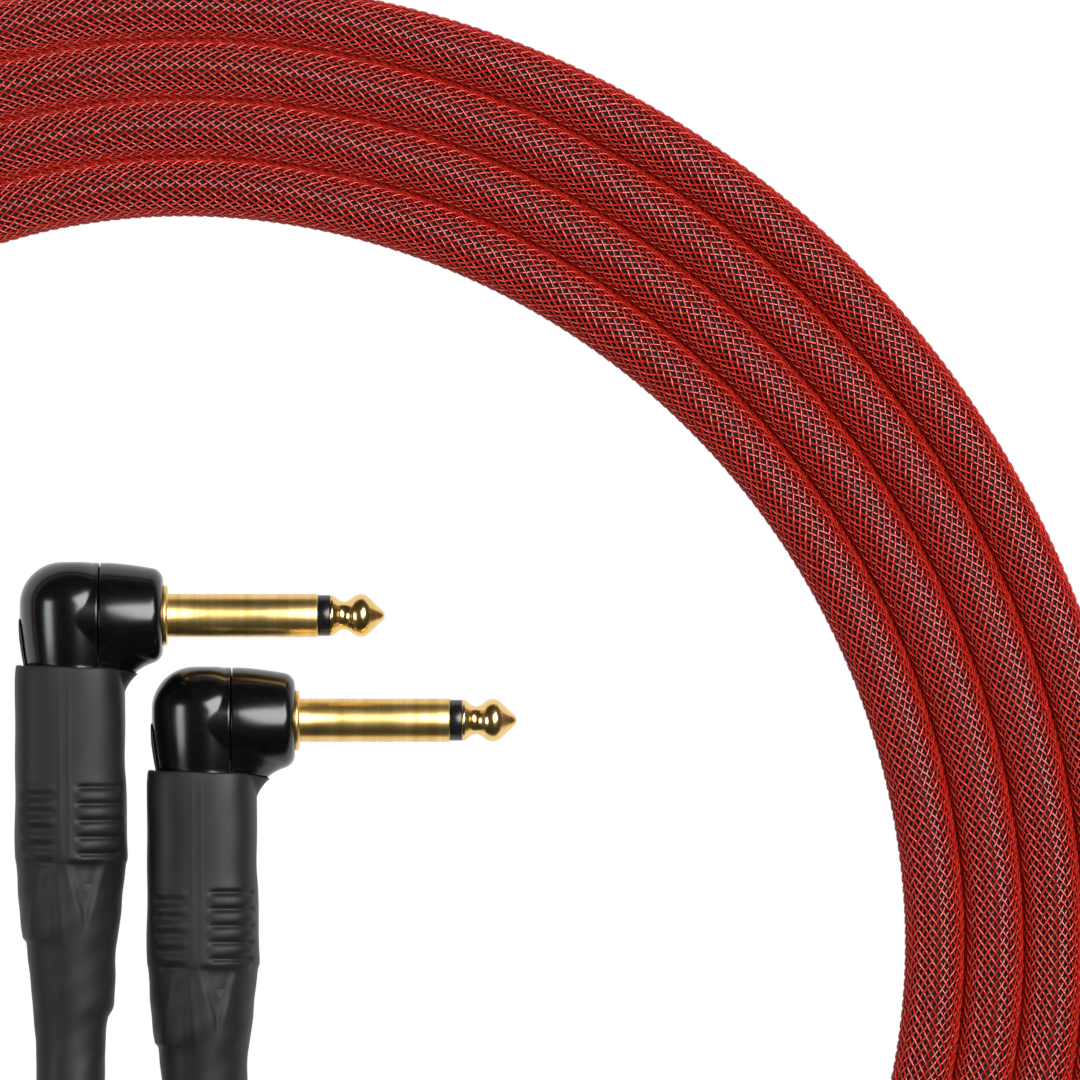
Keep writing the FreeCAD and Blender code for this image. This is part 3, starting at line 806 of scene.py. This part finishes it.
def make_jacket_black():
    """The jacket under the braid: matt black with fine speckle."""
    material, tree, shader = new_material("jacket_black", grey(0.02), 0.6)
    speck = noise(tree, 2200.0, 4.0)
    tree.links.new(ramp(tree, speck, grey(0.002), grey(0.012)), shader.inputs["Base Color"])
    shader.inputs["Specular IOR Level"].default_value = 0.12
    bump(tree, shader, speck, 0.4, 0.00008)
    return material


def make_filament(name, colour):
    """Red monofilament: glossy, with constant values."""
    material, _, shader = new_material(name, colour, 0.24)
    shader.inputs["Specular IOR Level"].default_value = 0.85
    return material


def make_plain_inside(name, colour, roughness, metallic):
    """A slightly uneven material for a part that is hidden inside the plug."""
    material, tree, shader = new_material(name, colour, roughness, metallic)
    darker = tuple(0.85 * c for c in colour)
    tree.links.new(ramp(tree, noise(tree, 700.0), darker, colour), shader.inputs["Base Color"])
    return material


def paint(piece, material):
    """The piece in that one material."""
    piece.data.materials.clear()
    piece.data.materials.append(material)


gold = make_gold()
gold_tip = make_gold_tip()
gloss_black = make_gloss_black()
ring_black = make_ring_black()
shrink = make_shrink()
tongue_black = make_tongue_black()
jacket_black = make_jacket_black()
REDS = [(0.43, 0.014, 0.006), (0.49, 0.020, 0.009), (0.37, 0.011, 0.005)]
filament_reds = [make_filament(f"filament_red_{i + 1}", colour) for i, colour in enumerate(REDS)]

paint(jacket, jacket_black)
for i, piece in enumerate(braid):
    paint(piece, filament_reds[i % len(filament_reds)])

for letter in "ab":
    rear, front = make_housings(letter)
    paint(rear, gloss_black)
    paint(front, gloss_black)
    tip, ring, shaft = make_contacts(letter)
    paint(tip, gold_tip)
    paint(ring, ring_black)
    paint(shaft, gold)
    paint(make_sleeve(letter), shrink)
    paint(make_tongue(letter), tongue_black)

INSIDE = {
    "inner_insulator_tube": ("nylon", (0.72, 0.70, 0.64), 0.45, 0.0),
    "tip_terminal": ("terminal_gold", (0.80, 0.60, 0.25), 0.3, 1.0),
    "ground_lug": ("tinned", (0.62, 0.62, 0.60), 0.35, 1.0),
    "insulating_liner": ("liner", (0.70, 0.68, 0.62), 0.5, 0.0),
    "cable_chuck": ("chuck", (0.03, 0.03, 0.03), 0.5, 0.0),
    "boot": ("boot_rubber", (0.02, 0.02, 0.02), 0.6, 0.0),
    "core_insulation": ("core", (0.78, 0.77, 0.72), 0.4, 0.0),
    "centre_conductor": ("copper", (0.72, 0.32, 0.16), 0.35, 1.0),
    "shield_pigtail": ("copper_shield", (0.70, 0.33, 0.18), 0.45, 1.0),
}
for node, values in INSIDE.items():
    material = make_plain_inside(*values)
    for letter in "ab":
        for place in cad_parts[f"{node}_{letter}"].material_slots:
            place.material = material
for letter in "ab":
    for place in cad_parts[f"cable_end_{letter}"].material_slots:
        place.material = jacket_black


# ---------------------------------------------------------------- floor and light

FLOOR_HALF = 1.5
FLOOR_GAP = 0.0002  # below the cable, so that the two don't share a face


def make_floor():
    """A floor that gives off its own white light, so that it takes no shadow, as in the photo."""
    size = FLOOR_HALF
    mesh = bpy.data.meshes.new("floor")
    corners = [(-size, -size, 0), (size, -size, 0), (size, size, 0), (-size, size, 0)]
    mesh.from_pydata(corners, [], [(0, 1, 2, 3)])
    floor = bpy.data.objects.new("floor", mesh)
    floor.location = (0.0, 0.0, -FLOOR_GAP)
    bpy.context.collection.objects.link(floor)
    material, _, shader = new_material("floor_white", grey(0.0), 1.0, Emission_Strength=1.0)
    shader.inputs["Emission Color"].default_value = (1.0, 1.0, 1.0, 1.0)
    shader.inputs["Specular IOR Level"].default_value = 0.0
    mesh.materials.append(material)


def soft_light(name, place, size, power, target):
    """A rectangle of light that the camera doesn't see, turned to a target."""
    data = bpy.data.lights.new(name, "AREA")
    data.shape = "RECTANGLE"
    data.size, data.size_y = size
    data.energy = power
    light = bpy.data.objects.new(name, data)
    light.location = place
    aim = np.array(target) - np.array(place)
    pitch = math.acos(-aim[2] / np.linalg.norm(aim))
    heading = math.atan2(aim[1], aim[0]) - math.pi / 2
    light.rotation_euler = (pitch, 0.0, heading)
    light.visible_camera = False
    bpy.context.collection.objects.link(light)


make_floor()
plugs_at = (PLUGS["a"] + PLUGS["b"]) / 2
aim = (plugs_at[0] + 0.03, plugs_at[1], 0.0)
soft_light("right", (plugs_at[0] + 0.46, plugs_at[1] + 0.24, 0.9), (0.6, 0.75), 17.0, aim)
soft_light("left", (plugs_at[0] - 0.55, plugs_at[1] - 0.03, 0.42), (0.3, 0.2), 1.6, aim)

world = bpy.data.worlds.new("studio")
world.use_nodes = True
world.node_tree.nodes["Background"].inputs["Color"].default_value = (1.0, 1.0, 1.0, 1.0)
world.node_tree.nodes["Background"].inputs["Strength"].default_value = 0.03
bpy.context.scene.world = world
bpy.context.scene.view_settings.view_transform = "Standard"
